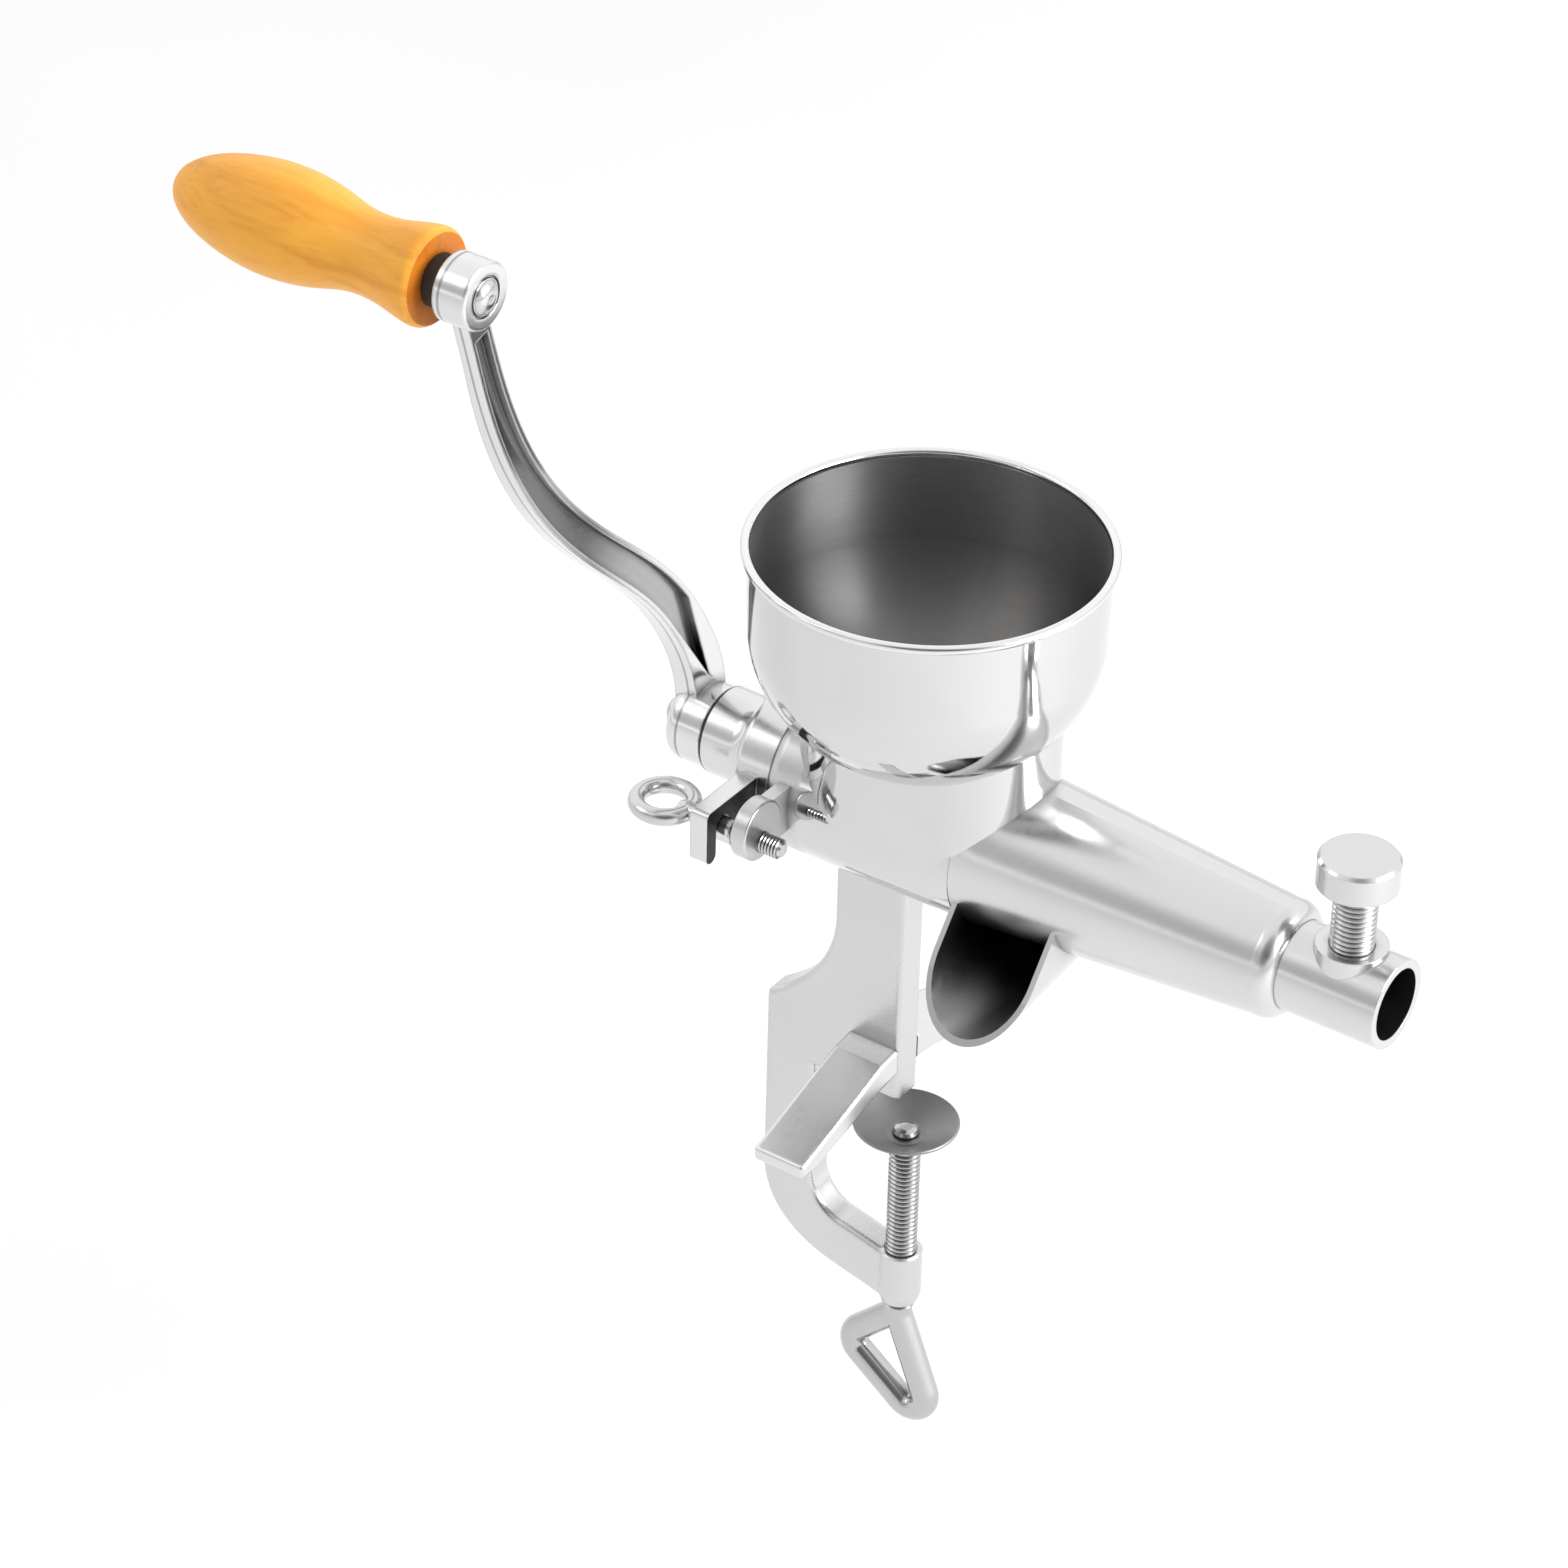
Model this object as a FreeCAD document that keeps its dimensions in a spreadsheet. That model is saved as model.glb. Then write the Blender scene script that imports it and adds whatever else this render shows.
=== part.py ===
import FreeCAD, Part
import math
import os

V = FreeCAD.Vector
Rot = FreeCAD.Rotation
Pl = FreeCAD.Placement

doc = FreeCAD.newDocument("press")

# ---------------------------------------------------------------- dimensions
# millimetres; x runs along the barrel from the crank to the outlet, z is up
DIMS = [
    ("base_x", 11.5), ("base_z", 95.5),
    ("barrel_rad", 23.0), ("barrel_bore", 17.5), ("barrel_front", 24.0),
    ("rear_rad", 20.0), ("rear_face", -36.0), ("throat_rad", 17.0),
    ("bowl_rad", 47.8), ("bowl_depth", 39.9), ("bowl_mid", 59.0), ("bowl_wall", 1.2),
    ("bead_ring", 48.7), ("bead_rad", 1.3), ("bead_z", 82.7),
    ("tube_rad", 12.5), ("tube_bore", 10.0), ("tube_start", 118.5), ("tube_end", 147.8),
    ("stem_x", 133.5), ("stem_boss", 9.7), ("stem_top", 13.5), ("stem_rad", 6.0),
    ("stem_head", 11.0), ("stem_head_z", 31.7), ("stem_head_h", 9.1),
    ("run_gap", 0.05),
    ("spout_half", 15.7), ("spout_mid", 40.7), ("spout_low", 19.3), ("spout_wall", 1.5), ("spout_tilt", 5.4),
    ("post_thick", 10.0), ("screw_rad", 4.5), ("screw_pitch", 1.5), ("screw_boss", 6.2),
    ("pad_rad", 15.0), ("pad_z", -105.5),
    ("hub_rad", 12.0), ("hub_in", -64.6), ("hub_out", -77.5),
    ("pin_y", -106.0), ("pin_z", 184.0), ("pin_boss", 9.2), ("pin_rad", 4.0),
    ("arm_x", -77.2), ("arm_thick", 7.2),
    ("journal_rad", 7.0), ("bush_rad", 9.0), ("tang_side", 9.9),
    ("eye_y", -35.0), ("eye_z", -2.5), ("eye_x", -59.2), ("eye_ring", 7.8), ("eye_wire", 2.4), ("eye_shank", 2.9),
    ("lug_rad", 8.7), ("lug_x", -31.9), ("lug_thick", 4.9), ("lug_rise", 3.5),
    ("grip_start", -79.7), ("flight_pitch", 18.0),
]
sheet = doc.addObject("Spreadsheet::Sheet", "dims")
for i, (k, v) in enumerate(DIMS, 1):
    sheet.set("A%d" % i, k)
    sheet.set("B%d" % i, str(v))
    sheet.setAlias("B%d" % i, k)
doc.recompute()
D = {k: float(sheet.get(k)) for k, _ in DIMS}

count = [0]


def uid(kind):
    count[0] += 1
    return "%s%03d" % (kind, count[0])


def bind(obj, prop, val):
    if isinstance(val, str):
        obj.setExpression(prop, val)
    else:
        setattr(obj, prop, val)


def cyl(r, h, base, axis="z"):
    o = doc.addObject("Part::Cylinder", uid("Cyl"))
    bind(o, "Radius", r)
    bind(o, "Height", h)
    rot = {"z": Rot(), "x": Rot(V(0, 1, 0), 90), "y": Rot(V(1, 0, 0), -90)}[axis]
    o.Placement = Pl(V(*base), rot)
    return o


def box(lo, hi):
    o = doc.addObject("Part::Box", uid("Box"))
    o.Length, o.Width, o.Height = hi[0] - lo[0], hi[1] - lo[1], hi[2] - lo[2]
    o.Placement = Pl(V(*lo), Rot())
    return o


def torus(r1, r2, pos):
    o = doc.addObject("Part::Torus", uid("Tor"))
    bind(o, "Radius1", r1)
    bind(o, "Radius2", r2)
    o.Placement = Pl(V(*pos), Rot())
    return o


def fuse(*objs):
    o = doc.addObject("Part::MultiFuse", uid("Fuse"))
    o.Shapes = list(objs)
    o.Refine = True
    return o


def cut(base, *tools):
    o = doc.addObject("Part::Cut", uid("Cut"))
    o.Base = base
    o.Tool = tools[0] if len(tools) == 1 else fuse(*tools)
    o.Refine = True
    return o


def common(*objs):
    o = doc.addObject("Part::MultiCommon", uid("Com"))
    o.Shapes = list(objs)
    return o


def wire_of(segs):
    # segs: lists of points; two points make a line, three an arc, more a smooth curve
    edges = []
    for s in segs:
        pts = [V(*q) for q in s]
        if len(pts) == 2:
            edges.append(Part.makeLine(pts[0], pts[1]))
        elif len(pts) == 3:
            edges.append(Part.Arc(*pts).toShape())
        else:
            c = Part.BSplineCurve()
            c.interpolate(pts)
            edges.append(c.toShape())
    return Part.Wire(edges)


def outline(segs):
    o = doc.addObject("Part::Feature", uid("Outline"))
    o.Shape = wire_of(segs)
    return o


def poly(pts):
    o = doc.addObject("Part::Polygon", uid("Poly"))
    o.Nodes = [V(*q) for q in pts]
    o.Close = True
    return o


def revolve(src, axis, base=(0, 0, 0)):
    o = doc.addObject("Part::Revolution", uid("Rev"))
    o.Source = src
    o.Axis = V(*axis)
    o.Base = V(*base)
    o.Angle = 360.0
    o.Solid = True
    return o


def turn_x(segs, y=0.0, z=0.0):
    # profile points are (x, radius), turned about a line along x
    s = outline([[(q[0], y, z + q[1]) for q in seg] for seg in segs])
    return revolve(s, (1, 0, 0), (0, y, z))


def turn_z(segs, x=0.0):
    # profile points are (radius, z), turned about a vertical line
    s = outline([[(x + q[0], 0, q[1]) for q in seg] for seg in segs])
    return revolve(s, (0, 0, 1), (x, 0, 0))


def lines(pts):
    return [[pts[i], pts[(i + 1) % len(pts)]] for i in range(len(pts))]


def extrude(src, direction, length):
    o = doc.addObject("Part::Extrusion", uid("Ext"))
    o.Base = src
    o.DirMode = "Custom"
    o.Dir = V(*direction)
    bind(o, "LengthFwd", length)
    o.Solid = True
    return o


NODES = {}


def node(name, obj):
    obj.Label = name
    obj.setExpression("Placement.Base.x", "dims.base_x")
    obj.setExpression("Placement.Base.z", "dims.base_z")
    NODES[name] = obj


def saw(lo, hi, r, pitch, depth):
    # thread outline as rings: list of (axial, radius) from lo to hi
    n = int(round((hi - lo) / pitch))
    step = (hi - lo) / n
    pts = [(lo, r - depth)]
    for k in range(n):
        a = lo + k * step
        pts += [(a + 0.35 * step, r), (a + 0.55 * step, r), (a + step, r - depth)]
    return pts


# ---------------------------------------------------------------- shared envelopes
def bowl_curve(a, c, r_from, n=14):
    out = []
    t0 = math.asin(r_from / a)
    for k in range(n + 1):
        t = t0 + (math.pi / 2 - t0) * k / n
        out.append((a * math.sin(t), D["bowl_mid"] - c * math.cos(t)))
    return out


def bowl_outer_solid():
    c = bowl_curve(D["bowl_rad"], D["bowl_depth"], 0.01)
    c[0] = (0.0, c[0][1])
    return turn_z([c, [c[-1], (D["bowl_rad"], 70.0)], [(D["bowl_rad"], 70.0), (0.0, 70.0)], [(0.0, 70.0), c[0]]])


def loaf(grow=0.0):
    # upright rounded block under the bowl
    r = D["barrel_rad"] + grow
    a, b = -12.0, 17.0
    o = outline([
        [(a, -r, 0), (b, -r, 0)],
        [(b, -r, 0), (b + r, 0, 0), (b, r, 0)],
        [(b, r, 0), (a, r, 0)],
        [(a, r, 0), (a - r, 0, 0), (a, -r, 0)],
    ])
    return extrude(o, (0, 0, 1), 42.0)


CONE = [[(24.0, 22.8), (112.5, 16.4)],
        [(112.5, 16.4), (116.9, 15.2), (118.5, 12.6)]]


def cone_solid():
    return turn_x(CONE + [[(118.5, 12.6), (118.5, 0)], [(118.5, 0), (24.0, 0)], [(24.0, 0), (24.0, 22.8)]])


def barrel_solid():
    return turn_x([[(-36.0, 0), (-36.0, 20.2)], [(-36.0, 20.2), (-34.9, 22.1), (-32.6, 23.0)], [(-32.6, 23.0), (24.0, 23.0)],
                   [(24.0, 23.0), (24.0, 0)], [(24.0, 0), (-36.0, 0)]])


# ---------------------------------------------------------------- pressing barrel with its rear lug
lz = D["eye_z"] + D["lug_rise"]
lug = turn_x([[(-31.9, 0), (-31.9, 8.1)], [(-31.9, 8.1), (-31.7, 8.5), (-31.3, 8.7)], [(-31.3, 8.7), (-27.6, 8.7)],
              [(-27.6, 8.7), (-27.2, 8.5), (-27.0, 8.1)], [(-27.0, 8.1), (-27.0, 0)], [(-27.0, 0), (-31.9, 0)]], D["eye_y"], lz)
web = box((-31.4, -35.0, -6.0), (-27.5, -17.0, 8.0))
node("press_barrel", cut(
    fuse(barrel_solid(), loaf(), lug, web),
    bowl_outer_solid(),
    cyl("dims.barrel_bore", 66.0, (-40.0, 0, 0), "x"),
    turn_x(lines([(24.0, 0), (24.0, 18.9), (68.25, 16.4), (68.25, 0)])),
    cyl("dims.throat_rad", 50.0, (0, 0, 0)),
    cyl("dims.eye_shank + dims.run_gap", 20.0, (-40.0, D["eye_y"], D["eye_z"]), "x")))

# ---------------------------------------------------------------- feed bowl with rolled rim
oc = bowl_curve(D["bowl_rad"], D["bowl_depth"], 17.0)
ic = bowl_curve(D["bowl_rad"] - D["bowl_wall"], D["bowl_depth"] - D["bowl_wall"], 17.0)
shell = turn_z([oc, [oc[-1], (48.6, 82.7)], [(48.6, 82.7), (47.6, 82.7)], [(47.6, 82.7), ic[-1]],
                ic[::-1], [ic[0], oc[0]]])
node("feed_bowl", fuse(shell, torus("dims.bead_ring", "dims.bead_rad", (0, 0, D["bead_z"]))))

# ---------------------------------------------------------------- tapering pressing nozzle
noz = turn_x(CONE + [[(118.5, 12.6), (118.5, 10.0)], [(118.5, 10.0), (116.0, 10.0)], [(116.0, 10.0), (112.5, 13.9)],
                     [(112.5, 13.9), (24.0, 18.9)], [(24.0, 18.9), (24.0, 22.8)]])
node("press_nozzle", cut(noz, loaf(), box((31.0, -9.0, -30.0), (54.0, 9.0, -8.0))))

# ---------------------------------------------------------------- outlet tube with the stem boss
node("outlet_tube", cut(
    fuse(cyl("dims.tube_rad", "dims.tube_end - dims.tube_start", (D["tube_start"], 0, 0), "x"),
         cyl("dims.stem_boss", "dims.stem_top", (D["stem_x"], 0, 0))),
    cyl("dims.tube_bore", 60.0, (100.0, 0, 0), "x"),
    cyl("dims.stem_rad + dims.run_gap", 30.0, (D["stem_x"], 0, 2.0))))

# ---------------------------------------------------------------- juice spout, a scoop below the nozzle
sm, sh, sl, sw = D["spout_mid"], D["spout_half"], D["spout_low"], D["spout_wall"]


def trough(half, y0, y1):
    o = outline([
        [(sm - half, y0, 4.0), (sm - half, y0, -sl)],
        [(sm - half, y0, -sl), (sm, y0, -sl - half), (sm + half, y0, -sl)],
        [(sm + half, y0, -sl), (sm + half, y0, 4.0)],
        [(sm + half, y0, 4.0), (sm - half, y0, 4.0)],
    ])
    e = extrude(o, (0, 1, 0), y1 - y0)
    e.Placement = Pl(V(0, -39.5, -38.0), Rot(V(1, 0, 0), 0)).multiply(
        Pl(V(0, 0, 0), Rot(V(1, 0, 0), D["spout_tilt"]))).multiply(Pl(V(0, 39.5, 38.0), Rot()))
    return e


slant = doc.addObject("Part::Box", "Slant")
slant.Length, slant.Width, slant.Height = 60.0, 80.0, 60.0
ang = math.degrees(math.atan2(29.0, 22.5))
slant.Placement = Pl(V(12.0, -43.0, -36.0), Rot(V(1, 0, 0), ang)).multiply(Pl(V(0, -20.0, 0), Rot()))
node("juice_spout", cut(cut(trough(sh, -62.0, 13.0), trough(sh - sw, -63.0, 11.5)),
                        slant, cone_solid(), barrel_solid(), loaf()))

# ---------------------------------------------------------------- rounded edges
def rounded(base, radius, keep=None):
    o = doc.addObject("Part::Fillet", uid("Round"))
    o.Base = base
    doc.recompute()
    o.Edges = [(i + 1, radius, radius) for i, e in enumerate(base.Shape.Edges) if keep is None or keep(e)]
    return o


def lies_on_y(value):
    def test(e):
        flat = all(abs(v.Point.z + 95.5) < 0.01 for v in e.Vertexes)       # the jaw's own face stays whole
        return not flat and all(abs(v.Point.y - value) < 0.01 for v in e.Vertexes)
    return test


# ---------------------------------------------------------------- clamp frame: post, back and lower arm
frame_out = outline([
    [(0.0, -5, -8.0), (-23.3, -5, -8.0)],
    [(-23.3, -5, -8.0), (-23.3, -5, -42.0)],
    [(-23.3, -5, -42.0), (-24.0, -5, -50.0), (-27.2, -5, -59.0), (-33.5, -5, -67.8), (-39.0, -5, -73.0), (-43.7, -5, -76.4)],
    [(-43.7, -5, -76.4), (-44.7, -5, -77.4), (-45.1, -5, -79.0)],
    [(-45.1, -5, -79.0), (-45.1, -5, -133.0)],
    [(-45.1, -5, -133.0), (-44.8, -5, -140.0), (-42.0, -5, -148.5), (-35.1, -5, -156.6), (-28.0, -5, -160.8), (-21.2, -5, -163.2)],
    [(-21.2, -5, -163.2), (0.0, -5, -168.2)],
    [(0.0, -5, -168.2), (0.0, -5, -151.6)],
    [(0.0, -5, -151.6), (-17.0, -5, -147.5)],
    [(-17.0, -5, -147.5), (-25.1, -5, -143.5), (-28.5, -5, -135.5)],
    [(-28.5, -5, -135.5), (-28.5, -5, -95.5)],
    [(-28.5, -5, -95.5), (0.0, -5, -95.5)],
    [(0.0, -5, -95.5), (0.0, -5, -8.0)],
])
node("clamp_frame", cut(
    fuse(rounded(rounded(extrude(frame_out, (0, 1, 0), "dims.post_thick"), 2.0, lies_on_y(-5.0)), 2.0, lies_on_y(5.0)),
         turn_z(lines([(0, -168.5), (5.4, -168.5), (6.2, -166.0), (6.2, -151.2), (5.7, -150.7), (0, -150.7)]))),
    barrel_solid(),
    cyl("dims.screw_rad + dims.run_gap", 40.0, (0, 0, -180.0))))

# ---------------------------------------------------------------- splayed jaw feet, rounded plates
for nm, s in (("jaw_foot_front", -1), ("jaw_foot_rear", 1)):
    f = poly([(-17.0, 2.0 * s, -86.9), (-17.0, 13.0 * s, -88.2), (-17.0, 43.0 * s, -95.5), (-17.0, 50.6 * s, -95.5),
              (-17.0, 50.6 * s, -91.4), (-17.0, 12.4 * s, -79.6), (-17.0, 2.0 * s, -78.4)])
    node(nm, cut(rounded(extrude(f, (1, 0, 0), 16.5), 1.3), box((-60.0, -5.0, -100.0), (60.0, 5.0, -60.0))))

# ---------------------------------------------------------------- strainer sleeve inside the nozzle
sieve = turn_x(lines([(25.0, 18.7), (108.0, 14.0), (108.0, 12.9), (25.0, 17.6)]))
holes = []
for i in range(7):
    for ang in (-50, -25, 0, 25, 50):
        h = doc.addObject("Part::Cylinder", uid("Hole"))
        h.Radius, h.Height = 1.1, 30.0
        h.Placement = Pl(V(33.0 + 3.2 * i, 0, 0), Rot(V(1, 0, 0), 180 + ang))
        holes.append(h)
node("strainer_sleeve", cut(sieve, *holes))

# ---------------------------------------------------------------- rear cap: bearing boss, flange, slotted ear
cap = turn_x([
    [(-64.3, 9.0), (-64.3, 12.3)], [(-64.3, 12.3), (-63.9, 12.7)], [(-63.9, 12.7), (-54.5, 12.7)],
    [(-54.5, 12.7), (-50.5, 14.2), (-48.2, 18.2)],
    [(-48.2, 18.2), (-47.5, 19.6), (-46.0, 20.0)],
    [(-46.0, 20.0), (-36.7, 20.0)], [(-36.7, 20.0), (-36.1, 19.4)], [(-36.1, 19.4), (-36.1, 19.05)], [(-36.1, 19.05), (-37.2, 19.05)], [(-37.2, 19.05), (-37.2, 17.3)], [(-37.2, 17.3), (-31.0, 17.3)],
    [(-31.0, 17.3), (-31.0, 9.0)], [(-31.0, 9.0), (-64.3, 9.0)]])
ex = -45.5
ear = extrude(outline([
    [(ex, -10.0, 4.5), (ex, -40.8, 4.5)],
    [(ex, -40.8, 4.5), (ex, -42.0, 4.0), (ex, -42.5, 2.8)],
    [(ex, -42.5, 2.8), (ex, -42.5, -9.8)],
    [(ex, -42.5, -9.8), (ex, -40.3, -12.0), (ex, -38.2, -9.8)],
    [(ex, -38.2, -9.8), (ex, -38.2, -2.5)],
    [(ex, -38.2, -2.5), (ex, -35.0, 0.7), (ex, -31.8, -2.5)],
    [(ex, -31.8, -2.5), (ex, -31.8, -10.0)],
    [(ex, -31.8, -10.0), (ex, -29.4, -12.4), (ex, -27.0, -12.2)],
    [(ex, -27.0, -12.2), (ex, -10.0, -9.0)],
    [(ex, -10.0, -9.0), (ex, -10.0, 4.5)]]), (1, 0, 0), 5.5)
node("rear_cap", cut(fuse(cap, ear), cyl("dims.bush_rad", 60.0, (-70.0, 0, 0), "x")))

node("rear_bush", cut(cyl("dims.bush_rad", 33.3, (-64.3, 0, 0), "x"),
                      cyl("dims.journal_rad + dims.run_gap", 60.0, (-80.0, 0, 0), "x")))
node("cap_seal", cut(cyl(19.0, 1.2, (-37.2, 0, 0), "x"), cyl(17.35, 10.0, (-40.0, 0, 0), "x")))

# ---------------------------------------------------------------- auger: left-hand flight on a tapering core
helix = doc.addObject("Part::Helix", "FlightPath")
helix.setExpression("Pitch", "dims.flight_pitch")
helix.Height = 132.0
helix.Radius = 10.0
helix.SegmentLength = 1.0
blade = poly([(5.0, 0, -1.6), (18.5, 0, -1.1), (18.5, 0, 1.1), (5.0, 0, 1.6)])
right = doc.addObject("Part::Sweep", "FlightRight")
right.Sections = [blade]
right.Spine = (helix, ["Edge%d" % (i + 1) for i in range(8)])
right.Solid = True
right.Frenet = True
sweep = doc.addObject("Part::Mirroring", "Flight")
sweep.Source = right
sweep.Normal = V(0, 1, 0)
sweep.Placement = Pl(V(-26.5, 0, 0), Rot(V(0, 1, 0), 90))
env = turn_x(lines([(-29.2, 0), (-29.2, 16.6), (24.0, 16.6), (106.0, 12.2), (106.0, 0)]))
core = turn_x(lines([(-64.2, 0), (-64.2, 7.0), (-29.2, 7.0), (-29.2, 11.5), (-25.0, 11.5), (-22.0, 9.5), (100.0, 7.5), (108.0, 4.5), (108.0, 0)]))
tang = box((-77.4, -4.95, -4.95), (-64.0, 4.95, 4.95))
node("auger", cut(fuse(common(sweep, env), core, tang), cyl(2.0, 16.0, (-80.0, 0, 0), "x")))
node("thrust_washer", cut(cyl(12.0, 1.2, (-30.6, 0, 0), "x"), cyl(7.0, 10.0, (-35.0, 0, 0), "x")))

# ---------------------------------------------------------------- crank arm: hub, channelled S arm, pin boss
AX = [(-106.0, 184.0, 4.0), (-100.9, 168.8, 4.0), (-96.7, 154.8, 4.1), (-88.5, 133.1, 4.4), (-71.5, 104.6, 4.9), (-48.4, 79.5, 5.3),
      (-23.0, 55.0, 5.7), (-6.2, 31.0, 6.0), (0.9, 12.0, 6.7), (1.2, 0.0, 6.9)]


def arm_sides(inset, pts):
    left, right = [], []
    c = Part.BSplineCurve()
    c.interpolate([V(0, q[0], q[1]) for q in AX])
    ks = [c.parameter(V(0, q[0], q[1])) for q in AX]
    for k in pts:
        i = min(max(0, max([j for j in range(len(ks)) if ks[j] <= k + 1e-9])), len(ks) - 2)
        f = (k - ks[i]) / (ks[i + 1] - ks[i])
        w = AX[i][2] * (1 - f) + AX[i + 1][2] * f - inset
        q, t = c.value(k), c.tangent(k)[0]
        n = V(0, -t.z, t.y)
        left.append((q.y + n.y * w, q.z + n.z * w))
        right.append((q.y - n.y * w, q.z - n.z * w))
    return left, right, c, ks


n_arm = 22
_, _, spine, kk = arm_sides(0, [0.0])
L, R, _, _ = arm_sides(0, [kk[-1] * i / n_arm for i in range(n_arm + 1)])
ax0 = D["arm_x"]
arm = extrude(outline([[(ax0, q[0], q[1]) for q in L], [(ax0,) + L[-1], (ax0,) + R[-1]],
                       [(ax0, q[0], q[1]) for q in R[::-1]], [(ax0,) + R[0], (ax0,) + L[0]]]), (1, 0, 0), "dims.arm_thick")
k0, k1 = kk[-1] * 0.075, kk[-1] * 0.93
L2, R2, _, _ = arm_sides(1.5, [k0 + (k1 - k0) * i / 18 for i in range(16)])
tip = spine.value(k1)
gx = ax0 + D["arm_thick"] - 2.6
chan = extrude(outline([[(gx, q[0], q[1]) for q in L2], [(gx,) + L2[-1], (gx, tip.y, tip.z)], [(gx, tip.y, tip.z), (gx,) + R2[-1]],
                        [(gx, q[0], q[1]) for q in R2[::-1]], [(gx,) + R2[0], (gx,) + L2[0]]]), (1, 0, 0), 10.0)
hub = turn_x([[(-64.6, 0), (-64.6, 11.6)], [(-64.6, 11.6), (-65.0, 12.0)], [(-65.0, 12.0), (-73.5, 12.0)],
              [(-73.5, 12.0), (-76.4, 10.9), (-77.5, 8.2)], [(-77.5, 8.2), (-77.5, 0)], [(-77.5, 0), (-64.6, 0)]])
pin_boss = turn_x([[(-64.6, 0), (-64.6, 8.3)], [(-64.6, 8.3), (-64.85, 8.95), (-65.5, 9.2)], [(-65.5, 9.2), (-74.3, 9.2)],
                   [(-74.3, 9.2), (-74.8, 8.7)], [(-74.8, 8.7), (-74.8, 0)], [(-74.8, 0), (-64.6, 0)]], D["pin_y"], D["pin_z"])
# the back of the arm leans forward to the pin boss
lean = extrude(poly([(-80.0, -140.0, 90.0), (-77.2, -140.0, 90.0), (-74.8, -140.0, 160.0), (-74.8, -140.0, 205.0), (-80.0, -140.0, 205.0)]), (0, 1, 0), 170.0)
ring_cut = turn_x(lines([(-65.2, 4.9), (-60.0, 4.9), (-60.0, 5.7), (-65.2, 5.7)]), D["pin_y"], D["pin_z"])
node("crank_arm", cut(
    fuse(cut(arm, chan, lean), hub, pin_boss),
    box((-80.0, -5.0, -5.0), (-60.0, 5.0, 5.0)), ring_cut,
    cyl("dims.pin_rad", 40.0, (-90.0, D["pin_y"], D["pin_z"]), "x")))
node("crank_washer", cut(cyl(7.4, 1.2, (-78.7, 0, 0), "x"), cyl(2.6, 10.0, (-85.0, 0, 0), "x")))
node("crank_screw", cut(
    fuse(turn_x([[(-78.7, 0), (-78.7, 4.6)], [(-78.7, 4.6), (-81.6, 3.4), (-82.5, 0.8)], [(-82.5, 0.8), (-82.5, 0)], [(-82.5, 0), (-78.7, 0)]]),
         cyl(2.0, 15.0, (-79.2, 0, 0), "x")),
    box((-84.0, -0.6, -6.0), (-81.2, 0.6, 6.0))))

# ---------------------------------------------------------------- handle spindle, washer and turned wooden grip
py, pz = D["pin_y"], D["pin_z"]
node("handle_spindle", turn_x([[(-150.0, 0), (-150.0, 3.2)], [(-150.0, 3.2), (-149.2, 4.0)], [(-149.2, 4.0), (-64.6, 4.0)],
                               [(-64.6, 4.0), (-64.6, 4.6)], [(-64.6, 4.6), (-63.4, 3.3), (-62.9, 0.8)], [(-62.9, 0.8), (-62.9, 0)], [(-62.9, 0), (-150.0, 0)]], py, pz))
node("grip_washer", cut(cyl(7.0, 4.4, (-79.3, py, pz), "x"), cyl("dims.pin_rad", 20.0, (-85.0, py, pz), "x")))
g0 = D["grip_start"]
GR = [(0.7, 12.75), (1.8, 13.1), (3.4, 13.05), (5.4, 12.75), (7.6, 12.3), (10.0, 11.75), (13.0, 11.15), (16.6, 10.7), (20.6, 10.55), (24.0, 10.8),
      (27.2, 11.35), (30.5, 12.15), (33.7, 12.95), (37.0, 13.65), (40.3, 14.15), (43.7, 14.5), (47.9, 14.65), (51.4, 14.6), (54.5, 14.35),
      (57.7, 13.95), (61.0, 13.4), (64.2, 12.7), (67.5, 11.8), (70.8, 10.7), (73.9, 9.35), (76.7, 7.75), (79.1, 5.9), (80.9, 3.5), (81.5, 1.6), (81.7, 0.0)]
node("wood_grip", cut(
    turn_x([[(g0, 0), (g0, 12.1)], [(g0, 12.1), (g0 - GR[0][0], GR[0][1])], [(g0 - a, b) for a, b in GR], [(g0 - GR[-1][0], 0), (g0, 0)]], py, pz),
    cyl("dims.pin_rad + dims.run_gap", 72.0, (-151.7, py, pz), "x")))

# ---------------------------------------------------------------- clamp pad and clamp screw with bent loop
zp = D["pad_z"]
node("clamp_pad", turn_z([[(2.9, zp - 4.4), (5.6, zp - 4.4)], [(5.6, zp - 4.4), (10.0, zp - 2.6), (14.6, zp)],
                          [(14.6, zp), (15.0, zp - 0.3), (14.9, zp - 1.0)], [(14.9, zp - 1.0), (10.4, zp - 4.0), (6.0, zp - 5.9)],
                          [(6.0, zp - 5.9), (2.9, zp - 5.9)], [(2.9, zp - 5.9), (2.9, zp - 4.4)]]))
thr = saw(-171.0, zp - 6.9, D["screw_rad"], D["screw_pitch"], 0.75)
rod = turn_z(lines([(0, -171.0)] + [(r, a) for a, r in thr] + [(3.7, zp - 6.1), (2.7, zp - 6.1), (2.7, zp - 4.2), (3.6, zp - 4.2),
                                                           (3.7, zp - 3.6), (3.2, zp - 2.7), (1.8, zp - 2.2), (0, zp - 2.1)]))


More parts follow.
